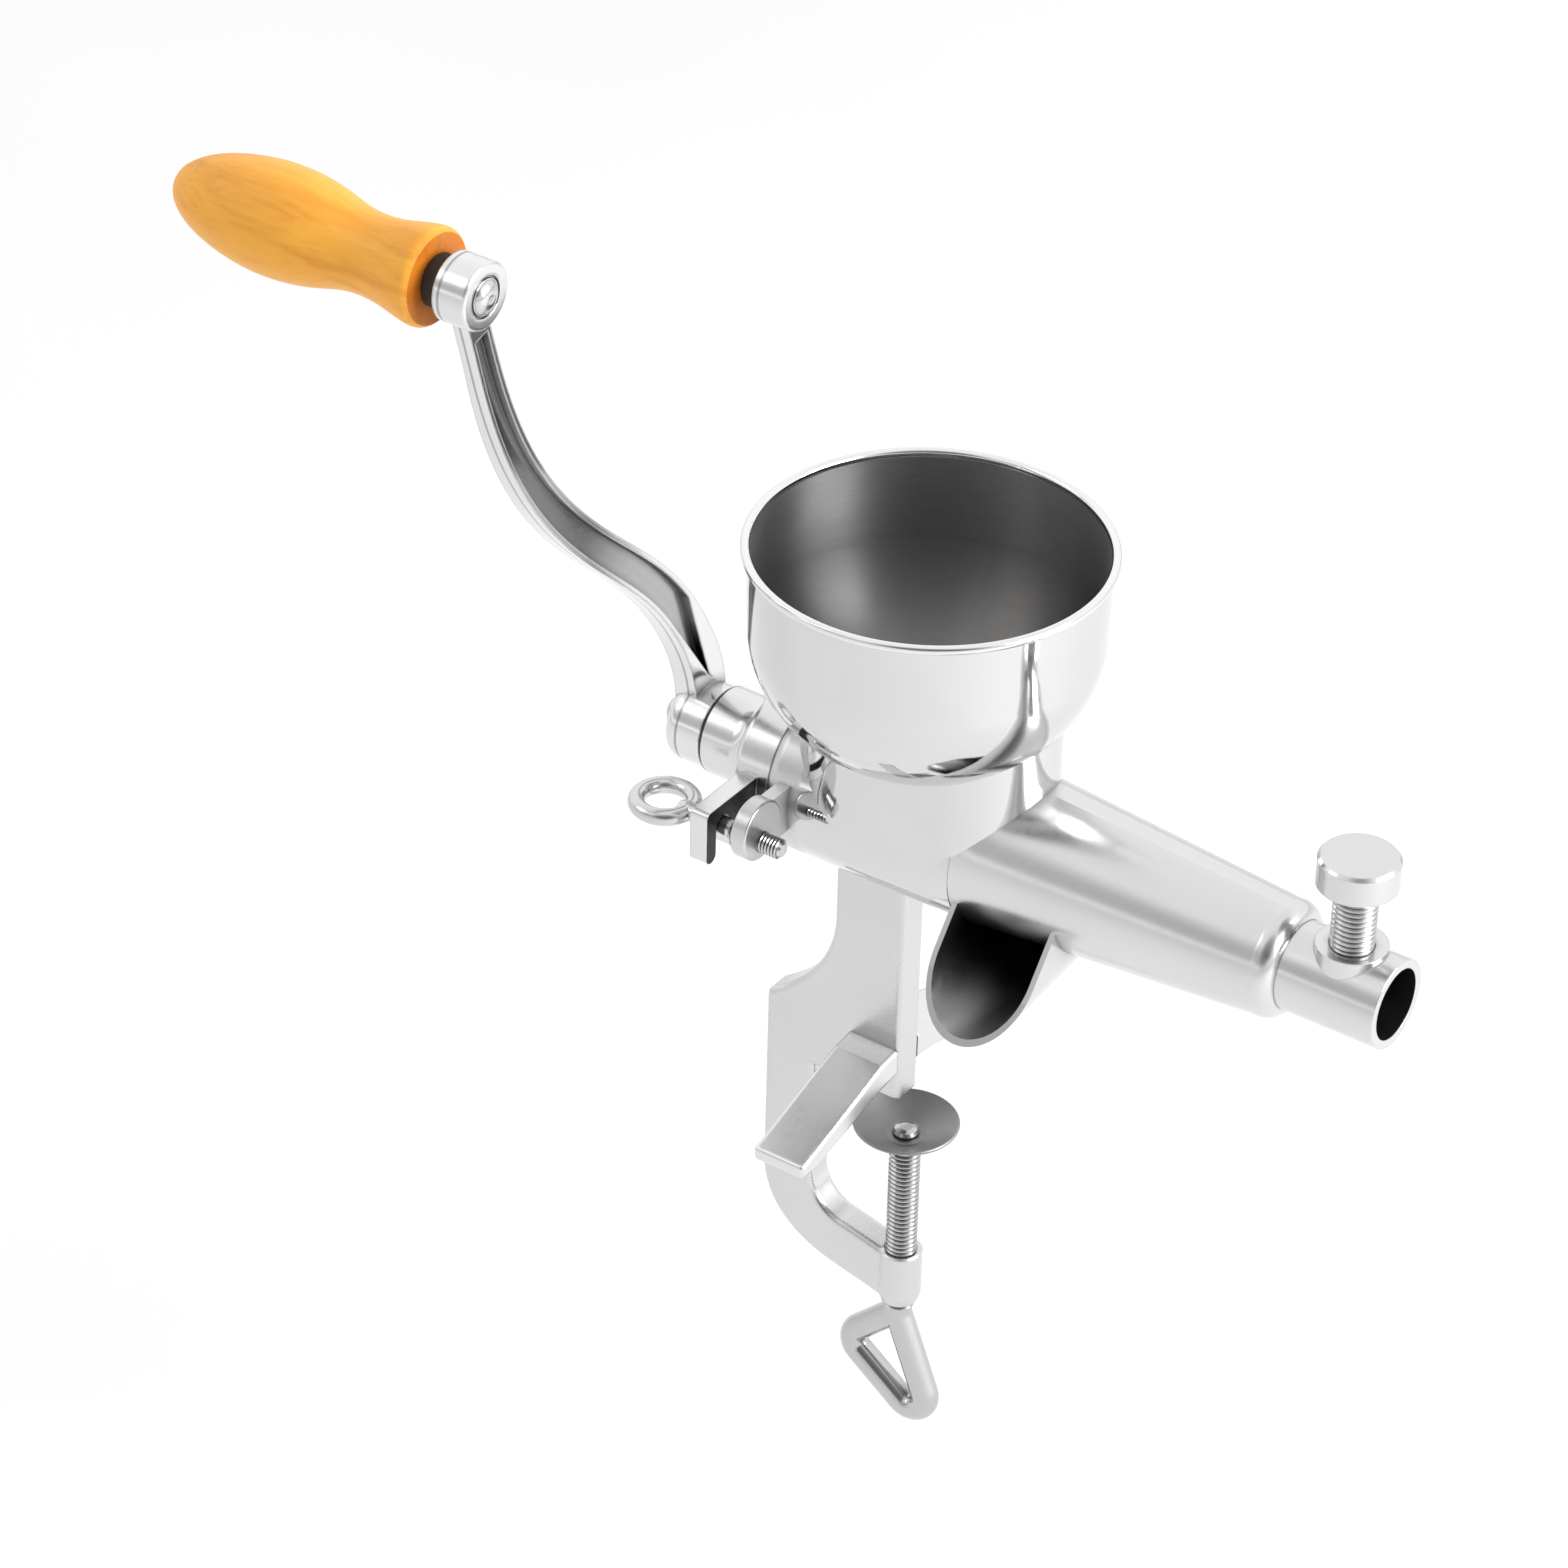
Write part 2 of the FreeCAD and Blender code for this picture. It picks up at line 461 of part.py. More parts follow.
def rounded_path(pts, rads):
    segs = []
    prev = V(*pts[0])
    for i in range(1, len(pts) - 1):
        a, b, c = V(*pts[i - 1]), V(*pts[i]), V(*pts[i + 1])
        u, w = (a - b).normalize(), (c - b).normalize()
        half = u.getAngle(w) / 2.0
        d = rads[i - 1] / math.tan(half)
        p, q = b + u * d, b + w * d
        m = b + (u + w).normalize() * (rads[i - 1] / math.sin(half) - rads[i - 1])
        segs.append([tuple(prev), tuple(p)])
        segs.append([tuple(p), tuple(m), tuple(q)])
        prev = q
    segs.append([tuple(prev), tuple(pts[-1])])
    return segs


segs = rounded_path([(0, 0, -170.0), (0, 0, -174.0), (17.0, 0, -216.5), (-17.5, 0, -190.5), (0.2, 0, -173.4)], [8.0, 5.2, 5.2])


def rod_bend(part, at, along):
    spine_obj = outline(part)
    sec = doc.addObject("Part::Circle", uid("RodSection"))
    sec.Radius = 4.0
    sec.Placement = Pl(V(*at), Rot(V(0, 0, 1), along))
    sw_obj = doc.addObject("Part::Sweep", uid("LoopRod"))
    sw_obj.Sections = [sec]
    sw_obj.Spine = (spine_obj, ["Edge%d" % (i + 1) for i in range(len(part))])
    sw_obj.Solid = True
    sw_obj.Frenet = False
    return sw_obj


run_a, run_b = V(*segs[4][0]), V(*segs[4][1])
loop_a = rod_bend(segs[:5], segs[0][0], V(0, 0, -1))
loop_b = rod_bend(segs[5:], segs[5][0], run_b - run_a)
node("clamp_screw", fuse(rod, loop_a, loop_b))

# ---------------------------------------------------------------- outlet adjusting screw and its swivel nose
sx = D["stem_x"]
thr = saw(7.9, 31.0, D["stem_rad"], 1.5, 0.75)
zt = D["stem_head_z"]
node("adjusting_screw", turn_z(
    lines([(0, 4.3), (2.0, 4.3), (2.0, 7.9)] + [(r, a) for a, r in thr] + [(5.2, zt), (10.3, zt), (11.0, zt + 0.7), (11.0, zt + 8.2), (10.1, zt + 9.1), (0, zt + 9.1)]), sx))
node("choke_nose", turn_z([[(2.1, 7.6), (4.6, 7.6)], [(4.6, 7.6), (4.6, 4.2)], [(4.6, 4.2), (3.4, 2.6), (0.8, 2.0)],
                           [(0.8, 2.0), (0.0, 2.0)], [(0.0, 2.0), (0.0, 4.0)], [(0.0, 4.0), (2.1, 4.0)], [(2.1, 4.0), (2.1, 7.6)]], sx))

# ---------------------------------------------------------------- eye bolt that locks the rear cap
ey, ez = D["eye_y"], D["eye_z"]
thr = saw(-37.0, -20.9, D["eye_shank"], 1.0, 0.55)
shank = turn_x(lines([(-54.2, 0), (-54.2, 2.2), (-52.0, 2.7), (-37.6, 2.7)] + thr + [(-20.2, 1.8), (-20.2, 0)]), ey, ez)
node("eye_bolt", fuse(shank, torus("dims.eye_ring", "dims.eye_wire", (D["eye_x"], ey, ez))))

# ---------------------------------------------------------------- check and write
doc.recompute()
bad = []
for o in doc.Objects:
    if "Invalid" in o.State or "Error" in o.State:
        bad.append("%s %s %s" % (o.Name, o.Label, o.State))
for nm, o in NODES.items():
    s = o.Shape
    if s.isNull() or not s.isValid() or not s.Solids:
        bad.append("%s shape" % nm)
if bad:
    raise RuntimeError("; ".join(bad))
os.makedirs("parts", exist_ok=True)
for nm, o in NODES.items():
    o.Shape.exportStep("parts/%s.step" % nm)
    b = o.Shape.BoundBox
    print("%-16s solids %d  vol %9.1f  x %7.1f %7.1f  y %7.1f %7.1f  z %7.1f %7.1f" % (
        nm, len(o.Shape.Solids), o.Shape.Volume, b.XMin, b.XMax, b.YMin, b.YMax, b.ZMin, b.ZMax))
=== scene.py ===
import math

import bpy
from mathutils import Matrix, Vector

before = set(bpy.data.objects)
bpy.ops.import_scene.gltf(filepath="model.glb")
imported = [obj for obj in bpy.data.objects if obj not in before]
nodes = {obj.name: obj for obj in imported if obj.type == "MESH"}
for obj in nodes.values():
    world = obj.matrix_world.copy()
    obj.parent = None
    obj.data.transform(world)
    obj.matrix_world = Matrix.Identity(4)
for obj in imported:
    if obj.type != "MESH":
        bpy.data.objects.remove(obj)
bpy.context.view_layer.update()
scene = bpy.context.scene
scene.view_settings.view_transform = "Standard"
scene.view_settings.look = "None"

BX, BZ = 0.0115, 0.0955          # bowl axis and barrel axis in the part's frame


# ---------------------------------------------------------------- node helpers
def new_mat(name):
    m = bpy.data.materials.new(name)
    m.use_nodes = True
    nt = m.node_tree
    b = nt.nodes["Principled BSDF"]
    return m, nt, b


def add(nt, kind, **props):
    n = nt.nodes.new(kind)
    for k, v in props.items():
        setattr(n, k, v)
    return n


def link(nt, a, ao, b, bi):
    nt.links.new(a.outputs[ao], b.inputs[bi])


def mapping(nt, scale=(1, 1, 1), rot=(0, 0, 0)):
    tc = add(nt, "ShaderNodeTexCoord")
    mp = add(nt, "ShaderNodeMapping")
    mp.inputs["Scale"].default_value = scale
    mp.inputs["Rotation"].default_value = rot
    link(nt, tc, "Object", mp, "Vector")
    return mp


def noise(nt, vec, scale, detail=3.0, rough=0.55, dist=0.0):
    n = add(nt, "ShaderNodeTexNoise")
    n.inputs["Scale"].default_value = scale
    n.inputs["Detail"].default_value = detail
    n.inputs["Roughness"].default_value = rough
    n.inputs["Distortion"].default_value = dist
    if vec is not None:
        link(nt, vec, "Vector", n, "Vector")
    return n


def ramp(nt, src, out, stops):
    r = add(nt, "ShaderNodeValToRGB")
    els = r.color_ramp.elements
    while len(els) < len(stops):
        els.new(0.5)
    for e, (p, c) in zip(els, stops):
        e.position = p
        e.color = (c, c, c, 1) if not isinstance(c, tuple) else c + (1,)
    link(nt, src, out, r, "Fac")
    return r


def bump(nt, b, src, out, strength, dist, edge=0.0):
    n = add(nt, "ShaderNodeBump")
    if edge > 0.0:                       # small broken edges, as a buffed casting has
        e = add(nt, "ShaderNodeBevel", samples=4)
        e.inputs["Radius"].default_value = edge
        link(nt, e, "Normal", n, "Normal")
    n.inputs["Strength"].default_value = strength
    n.inputs["Distance"].default_value = dist
    link(nt, src, out, n, "Height")
    link(nt, n, "Normal", b, "Normal")
    return n


def painted_crevice_shade(nt, src, out, reach, deep, full=0.72):
    """Painted shade: darkens the colour in corners and creases found by ambient occlusion; reach is how far it looks,
    deep is the tone in the corner.
    """
    ao = add(nt, "ShaderNodeAmbientOcclusion", samples=8, only_local=False)
    ao.inputs["Distance"].default_value = reach
    shade = ramp(nt, ao, "AO", [(0.28, deep), (full, 1.0)])
    mul = add(nt, "ShaderNodeMix", data_type="RGBA", blend_type="MULTIPLY")
    mul.inputs[0].default_value = 1.0
    nt.links.new(src.outputs[out], mul.inputs[6])
    nt.links.new(shade.outputs["Color"], mul.inputs[7])
    return mul.outputs[2]


def steel(name, tone, r_lo, r_hi, brush=(1, 1, 1), grain=900.0, bump_s=0.03, patch=22.0, edge=0.0, reach=0.0, deep=0.3):
    """Stainless steel: soft tone patches, fine brushed grain in roughness and bump."""
    m, nt, b = new_mat(name)
    b.inputs["Metallic"].default_value = 1.0
    mp = mapping(nt, brush)
    fine = noise(nt, mp, grain, 4.0, 0.6)
    soft = noise(nt, mapping(nt), patch, 2.0, 0.5)
    col = ramp(nt, soft, "Fac", [(0.3, tuple(t * 0.955 for t in tone)), (0.7, tone)])
    # painted shade in corners and creases when reach is given
    if reach > 0.0:
        nt.links.new(painted_crevice_shade(nt, col, "Color", reach, deep), b.inputs["Base Color"])
    else:
        link(nt, col, "Color", b, "Base Color")
    rr = ramp(nt, fine, "Fac", [(0.25, r_lo), (0.8, r_hi)])
    link(nt, rr, "Color", b, "Roughness")
    bump(nt, b, fine, "Fac", bump_s, 0.0002, edge)
    return m


# ---------------------------------------------------------------- materials
# reach and deep add painted shade in corners and creases of these steels
polished = steel("polished_steel", (0.67, 0.67, 0.672), 0.05, 0.10, grain=600.0, bump_s=0.010, reach=0.008, deep=0.25)
nozzle_steel = steel("nozzle_steel", (0.67, 0.67, 0.672), 0.20, 0.28, grain=600.0, bump_s=0.010, reach=0.008, deep=0.2)
cast = steel("buffed_cast_steel", (0.72, 0.72, 0.722), 0.17, 0.25, grain=500.0, bump_s=0.02, edge=0.0007, reach=0.006, deep=0.2)
satin = steel("satin_steel", (0.64, 0.64, 0.642), 0.22, 0.32, brush=(1, 1, 4), grain=1600.0, bump_s=0.012, edge=0.0006)
turned = steel("turned_steel", (0.62, 0.62, 0.622), 0.16, 0.25, brush=(1, 1, 10), grain=900.0, bump_s=0.03, edge=0.0004)


def radius_of(nt, axis, centre):
    """Distance of a surface point from a line along axis through centre."""
    tc = add(nt, "ShaderNodeTexCoord")
    off = add(nt, "ShaderNodeVectorMath", operation="SUBTRACT")
    off.inputs[1].default_value = centre
    link(nt, tc, "Object", off, 0)
    flat = add(nt, "ShaderNodeVectorMath", operation="MULTIPLY")
    flat.inputs[1].default_value = tuple(0.0 if k == axis else 1.0 for k in range(3))
    link(nt, off, "Vector", flat, 0)
    ln = add(nt, "ShaderNodeVectorMath", operation="LENGTH")
    link(nt, flat, "Vector", ln, 0)
    return ln


def facing_in(nt, axis, centre):
    """1 where the surface faces the line along axis through centre, else 0."""
    tc = add(nt, "ShaderNodeTexCoord")
    geo = add(nt, "ShaderNodeNewGeometry")
    off = add(nt, "ShaderNodeVectorMath", operation="SUBTRACT")
    off.inputs[1].default_value = centre
    link(nt, tc, "Object", off, 0)
    flat = add(nt, "ShaderNodeVectorMath", operation="MULTIPLY")
    flat.inputs[1].default_value = tuple(0.0 if k == axis else 1.0 for k in range(3))
    link(nt, off, "Vector", flat, 0)
    dot = add(nt, "ShaderNodeVectorMath", operation="DOT_PRODUCT")
    link(nt, flat, "Vector", dot, 0)
    nt.links.new(geo.outputs["True Normal"], dot.inputs[1])
    lt = add(nt, "ShaderNodeMath", operation="LESS_THAN")
    nt.links.new(dot.outputs["Value"], lt.inputs[0])
    lt.inputs[1].default_value = -0.0002
    return lt


def two_tone(name, mask_of, out_tone, out_r, in_tone, in_r, grain=600.0, edge=0.0, brush=(1, 1, 1), reach=0.0, deep=0.3, full=0.72):
    """Steel with one finish outside the mask and another inside it."""
    m, nt, b = new_mat(name)
    b.inputs["Metallic"].default_value = 1.0
    mask, sock = mask_of(nt)
    fine = noise(nt, mapping(nt, brush), grain, 4.0, 0.6)
    soft = noise(nt, mapping(nt), 26.0, 2.0)
    pair = []
    for lo, hi in ((out_tone, out_r), (in_tone, in_r)):
        c = ramp(nt, soft, "Fac", [(0.3, (lo * 0.95,) * 3), (0.7, (lo,) * 3)])
        r = ramp(nt, fine, "Fac", [(0.25, hi[0]), (0.8, hi[1])])
        pair.append((c, r))
    for k, target in ((0, "Base Color"), (1, "Roughness")):
        mx = add(nt, "ShaderNodeMix", data_type="RGBA")
        nt.links.new(mask.outputs[sock], mx.inputs[0])
        nt.links.new(pair[0][k].outputs["Color"], mx.inputs[6])
        nt.links.new(pair[1][k].outputs["Color"], mx.inputs[7])
        # painted shade in corners and creases when reach is given
        if k == 0 and reach > 0.0:
            nt.links.new(painted_crevice_shade(nt, mx, 2, reach, deep, full), b.inputs[target])
        else:
            nt.links.new(mx.outputs[2], b.inputs[target])
    bump(nt, b, fine, "Fac", 0.02, 0.0002, edge)
    return m


def groove(axis, centre, root, crest, lo, hi):
    """1 at the root of a thread between lo and hi along its axis, 0 at its crest and elsewhere."""
    def build(nt):
        ln = radius_of(nt, axis, centre)
        mr = add(nt, "ShaderNodeMapRange")
        mr.inputs["From Min"].default_value = crest
        mr.inputs["From Max"].default_value = root
        nt.links.new(ln.outputs["Value"], mr.inputs["Value"])
        tc = add(nt, "ShaderNodeTexCoord")
        sp = add(nt, "ShaderNodeSeparateXYZ")
        link(nt, tc, "Object", sp, "Vector")
        within = add(nt, "ShaderNodeMath", operation="COMPARE")
        nt.links.new(sp.outputs["XYZ"[axis]], within.inputs[0])
        within.inputs[1].default_value = (lo + hi) / 2
        within.inputs[2].default_value = (hi - lo) / 2
        both = add(nt, "ShaderNodeMath", operation="MULTIPLY")
        nt.links.new(mr.outputs["Result"], both.inputs[0])
        nt.links.new(within.outputs["Value"], both.inputs[1])
        return both, "Value"
    return build


def inner(axis, centre):
    return lambda nt: (facing_in(nt, axis, centre), "Value")


def channel(nt):
    """The as-cast floor of the crank arm's channel."""
    tc = add(nt, "ShaderNodeTexCoord")
    sp = add(nt, "ShaderNodeSeparateXYZ")
    link(nt, tc, "Object", sp, "Vector")
    mr = add(nt, "ShaderNodeMath", operation="COMPARE")
    nt.links.new(sp.outputs["X"], mr.inputs[0])
    mr.inputs[1].default_value = -0.0611
    mr.inputs[2].default_value = 0.0004
    return mr, "Value"


def pad_material():
    m, nt, b = new_mat("blasted_pad")
    b.inputs["Metallic"].default_value = 1.0
    n = noise(nt, mapping(nt), 1500.0, 3.0)
    s = noise(nt, mapping(nt), 60.0, 2.0)
    c = ramp(nt, s, "Fac", [(0.3, 0.27), (0.7, 0.33)])
    # painted shade: the pad's colour is darkened in corners and creases
    nt.links.new(painted_crevice_shade(nt, c, "Color", 0.0035, 0.10, 0.85), b.inputs["Base Color"])
    r = ramp(nt, n, "Fac", [(0.2, 0.36), (0.8, 0.5)])
    link(nt, r, "Color", b, "Roughness")
    bump(nt, b, n, "Fac", 0.08, 0.0002)
    return m


def bowl_material():
    """Mirror outside, satin spun inside with a dark base colour as painted shade, and the rolled rim lightened as a
    painted highlight; inside is where the surface faces the bowl's axis.
    """
    m, nt, b = new_mat("bowl_steel")
    b.inputs["Metallic"].default_value = 1.0
    geo = add(nt, "ShaderNodeNewGeometry")
    tc = add(nt, "ShaderNodeTexCoord")
    off = add(nt, "ShaderNodeVectorMath", operation="SUBTRACT")
    off.inputs[1].default_value = (BX, 0.0, 0.0)
    link(nt, tc, "Object", off, 0)
    sep = add(nt, "ShaderNodeSeparateXYZ")
    link(nt, off, "Vector", sep, "Vector")
    sepn = add(nt, "ShaderNodeSeparateXYZ")
    link(nt, geo, "Normal", sepn, "Vector")
    mx = add(nt, "ShaderNodeMath", operation="MULTIPLY")
    link(nt, sep, "X", mx, 0)
    link(nt, sepn, "X", mx, 1)
    my = add(nt, "ShaderNodeMath", operation="MULTIPLY")
    link(nt, sep, "Y", my, 0)
    link(nt, sepn, "Y", my, 1)
    sm = add(nt, "ShaderNodeMath", operation="ADD")
    link(nt, mx, 0, sm, 0)
    link(nt, my, 0, sm, 1)
    low = add(nt, "ShaderNodeMath", operation="LESS_THAN")       # below the rolled rim
    link(nt, sep, "Z", low, 0)
    low.inputs[1].default_value = BZ + 0.0818
    inw = add(nt, "ShaderNodeMath", operation="LESS_THAN")
    link(nt, sm, 0, inw, 0)
    inw.inputs[1].default_value = 0.0
    mask = add(nt, "ShaderNodeMath", operation="MULTIPLY")
    link(nt, low, 0, mask, 0)
    link(nt, inw, 0, mask, 1)
    mp = mapping(nt, (1, 1, 40))
    fine = noise(nt, mp, 120.0, 4.0, 0.6)
    soft = noise(nt, mapping(nt), 30.0, 2.0)
    co = ramp(nt, soft, "Fac", [(0.3, (0.64, 0.64, 0.642)), (0.7, (0.67, 0.67, 0.672))])
    # painted shade: the inside gets a dark base colour; its satin spun finish lies in roughness and anisotropy
    ci = ramp(nt, fine, "Fac", [(0.25, (0.22, 0.22, 0.22)), (0.8, (0.27, 0.27, 0.27))])
    mc = add(nt, "ShaderNodeMix", data_type="RGBA")
    link(nt, mask, 0, mc, 0)
    nt.links.new(co.outputs["Color"], mc.inputs[6])
    nt.links.new(ci.outputs["Color"], mc.inputs[7])
    # painted highlight: the rolled rim gets a lighter base colour (0.77)
    rim = add(nt, "ShaderNodeMath", operation="GREATER_THAN")
    link(nt, sep, "Z", rim, 0)
    rim.inputs[1].default_value = BZ + 0.0818
    rim_highlight_mix = add(nt, "ShaderNodeMix", data_type="RGBA")
    link(nt, rim, 0, rim_highlight_mix, 0)
    nt.links.new(mc.outputs[2], rim_highlight_mix.inputs[6])
    rim_highlight_mix.inputs[7].default_value = (0.77, 0.77, 0.77, 1)
    nt.links.new(rim_highlight_mix.outputs[2], b.inputs["Base Color"])
    spun = add(nt, "ShaderNodeMath", operation="MULTIPLY")        # turned marks run round the inside
    link(nt, mask, 0, spun, 0)
    spun.inputs[1].default_value = 0.85
    link(nt, spun, 0, b, "Anisotropic")
    tan = add(nt, "ShaderNodeTangent", direction_type="RADIAL", axis="Z")
    link(nt, tan, "Tangent", b, "Tangent")
    b.inputs["Anisotropic Rotation"].default_value = 0.25
    ro = ramp(nt, fine, "Fac", [(0.25, 0.05), (0.8, 0.085)])
    ri = ramp(nt, fine, "Fac", [(0.25, 0.40), (0.8, 0.46)])
    mr = add(nt, "ShaderNodeMix", data_type="RGBA")
    link(nt, mask, 0, mr, 0)
    nt.links.new(ro.outputs["Color"], mr.inputs[6])
    nt.links.new(ri.outputs["Color"], mr.inputs[7])
    nt.links.new(mr.outputs[2], b.inputs["Roughness"])
    bump(nt, b, fine, "Fac", 0.012, 0.0002)
    return m


def wood_material():
    """Varnished amber wood with long grain along the grip."""
    m, nt, b = new_mat("varnished_wood")
    mp = mapping(nt, (0.085, 1.0, 1.0), (0.05, 0.03, 0.02))
    warp = noise(nt, mapping(nt, (0.3, 1, 1)), 40.0, 2.0)
    broad = noise(nt, mp, 150.0, 3.0, 0.55, 0.6)
    fibre = noise(nt, mapping(nt, (0.03, 1.0, 1.0)), 900.0, 4.0, 0.65)
    c1 = ramp(nt, broad, "Fac", [(0.30, (0.80, 0.335, 0.034)), (0.46, (0.90, 0.415, 0.050)), (0.58, (0.93, 0.445, 0.058)), (0.74, (0.84, 0.365, 0.040))])
    c2 = ramp(nt, fibre, "Fac", [(0.32, (0.86, 0.80, 0.72)), (0.52, (1.0, 1.0, 1.0))])
    mul = add(nt, "ShaderNodeMix", data_type="RGBA", blend_type="MULTIPLY")
    mul.inputs[0].default_value = 0.55
    nt.links.new(c1.outputs["Color"], mul.inputs[6])
    nt.links.new(c2.outputs["Color"], mul.inputs[7])
    c3 = ramp(nt, warp, "Fac", [(0.3, (0.93, 0.90, 0.86)), (0.7, (1.0, 1.0, 1.0))])
    mul2 = add(nt, "ShaderNodeMix", data_type="RGBA", blend_type="MULTIPLY")
    mul2.inputs[0].default_value = 0.8
    nt.links.new(mul.outputs[2], mul2.inputs[6])
    nt.links.new(c3.outputs["Color"], mul2.inputs[7])
    geo = add(nt, "ShaderNodeNewGeometry")
    sn = add(nt, "ShaderNodeSeparateXYZ")
    link(nt, geo, "Normal", sn, "Vector")
    shaded_end_face = add(nt, "ShaderNodeMapRange", interpolation_type="SMOOTHSTEP")
    shaded_end_face.inputs["From Min"].default_value = 0.55
    shaded_end_face.inputs["From Max"].default_value = 0.92
    link(nt, sn, "X", shaded_end_face, "Value")
    grain = add(nt, "ShaderNodeMix", data_type="RGBA", blend_type="MULTIPLY")      # painted shade on the grip's end face turned to +X, partly darker end grain
    nt.links.new(shaded_end_face.outputs["Result"], grain.inputs[0])
    nt.links.new(mul2.outputs[2], grain.inputs[6])
    grain.inputs[7].default_value = (0.62, 0.40, 0.25, 1)
    nt.links.new(grain.outputs[2], b.inputs["Base Color"])
    b.inputs["Specular IOR Level"].default_value = 0.28
    r = ramp(nt, fibre, "Fac", [(0.3, 0.48), (0.7, 0.40)])
    link(nt, r, "Color", b, "Roughness")
    b.inputs["Coat Weight"].default_value = 0.06
    b.inputs["Coat Roughness"].default_value = 0.22
    bump(nt, b, fibre, "Fac", 0.06, 0.0002)
    return m


def plain(name, dark, light, r_lo, r_hi, grain=700.0):
    m, nt, b = new_mat(name)
    n = noise(nt, mapping(nt), grain, 3.0)
    c = ramp(nt, n, "Fac", [(0.3, dark), (0.7, light)])
    link(nt, c, "Color", b, "Base Color")
    r = ramp(nt, n, "Fac", [(0.3, r_lo), (0.7, r_hi)])
    link(nt, r, "Color", b, "Roughness")
    bump(nt, b, n, "Fac", 0.05, 0.0002)
    return m


pad = pad_material()
bowl = bowl_material()
wood = wood_material()
fibre_washer = plain("fibre_washer", (0.012, 0.010, 0.009), (0.022, 0.019, 0.017), 0.5, 0.7)
plastic = plain("bearing_plastic", (0.74, 0.73, 0.69), (0.80, 0.79, 0.75), 0.4, 0.5)
rubber = plain("seal_rubber", (0.018, 0.018, 0.018), (0.03, 0.03, 0.03), 0.6, 0.75)

# painted shade: the spout's inside (0.46) and the tube's bore (0.045) are darkened, and reach adds painted shade in
# corners and creases
spout = two_tone("spout_steel", inner(1, (0.0531, 0.0, 0.0740)), 0.66, (0.09, 0.15), 0.46, (0.30, 0.40), reach=0.03, deep=0.12)
tube = two_tone("tube_steel", inner(0, (0.0, 0.0, BZ)), 0.66, (0.19, 0.27), 0.045, (0.45, 0.55), edge=0.0005, reach=0.006, deep=0.2)
arm = two_tone("crank_steel", channel, 0.76, (0.12, 0.19), 0.42, (0.16, 0.24), edge=0.0010, reach=0.006, deep=0.08, full=0.84)
# painted shade: the thread roots are darkened
clamp_thread = two_tone("clamp_thread", groove(2, (BX, 0.0, 0.0), 0.0038, 0.0045, -0.0745, -0.0169), 0.53, (0.13, 0.20), 0.07, (0.3, 0.4), reach=0.006, deep=0.2)
stem_thread = two_tone("stem_thread", groove(2, (0.1450, 0.0, 0.0), 0.0053, 0.0060, 0.1034, 0.1265), 0.64, (0.16, 0.24), 0.12, (0.3, 0.4), edge=0.0005)
eye_thread = two_tone("eye_thread", groove(0, (0.0, -0.035, 0.093), 0.00238, 0.00288, -0.0255, -0.0094), 0.62, (0.15, 0.22), 0.08, (0.3, 0.4))

def cap_joint_and_shaded_face(nt):
    """The joint line against the crank hub, a dark seal line that is partly painted shadow in the gap, and the
    unpolished face turned to the lug, darkened as painted shade.
    """
    tc = add(nt, "ShaderNodeTexCoord")
    sp = add(nt, "ShaderNodeSeparateXYZ")
    link(nt, tc, "Object", sp, "Vector")
    line = add(nt, "ShaderNodeMath", operation="LESS_THAN")
    link(nt, sp, "X", line, 0)
    line.inputs[1].default_value = -0.0521
    geo = add(nt, "ShaderNodeNewGeometry")
    sn = add(nt, "ShaderNodeSeparateXYZ")
    link(nt, geo, "Normal", sn, "Vector")
    face = add(nt, "ShaderNodeMath", operation="GREATER_THAN")
    link(nt, sn, "X", face, 0)
    face.inputs[1].default_value = 0.9
    either = add(nt, "ShaderNodeMath", operation="MAXIMUM")
    link(nt, line, 0, either, 0)
    link(nt, face, 0, either, 1)
    return either, "Value"


# painted shade: the joint line and the face turned to the lug are near black (0.06), and reach adds painted shade in
# corners
cap_steel = two_tone("cap_steel", cap_joint_and_shaded_face, 0.72, (0.17, 0.25), 0.06, (0.35, 0.45), edge=0.0006, reach=0.006, deep=0.3)

def rear_end(nt):
    """The rear of the barrel and its lug, ground but not polished."""
    tc = add(nt, "ShaderNodeTexCoord")
    sp = add(nt, "ShaderNodeSeparateXYZ")
    link(nt, tc, "Object", sp, "Vector")
    mr = add(nt, "ShaderNodeMapRange")
    for k, v in (("From Min", -0.0128), ("From Max", -0.0142)):
        mr.inputs[k].default_value = v
    link(nt, sp, "X", mr, "Value")
    return mr, "Result"


# reach adds painted shade in corners and creases of the barrel
barrel = two_tone("barrel_steel", rear_end, 0.665, (0.05, 0.10), 0.64, (0.27, 0.36), reach=0.008, deep=0.30)

LOOK = {
    "press_barrel": barrel, "feed_bowl": bowl, "press_nozzle": nozzle_steel, "outlet_tube": tube, "juice_spout": spout,
    "clamp_frame": satin, "jaw_foot_front": cast, "jaw_foot_rear": cast, "strainer_sleeve": satin, "rear_cap": cap_steel,
    "rear_bush": plastic, "cap_seal": rubber, "auger": satin, "thrust_washer": plastic, "crank_arm": arm,
    "crank_washer": turned, "crank_screw": turned, "handle_spindle": turned, "grip_washer": fibre_washer, "wood_grip": wood,
    "clamp_pad": pad, "clamp_screw": clamp_thread, "adjusting_screw": stem_thread, "choke_nose": turned, "eye_bolt": eye_thread,
}
for name, m in LOOK.items():
    o = nodes[name]
    o.data.materials.clear()
    o.data.materials.append(m)

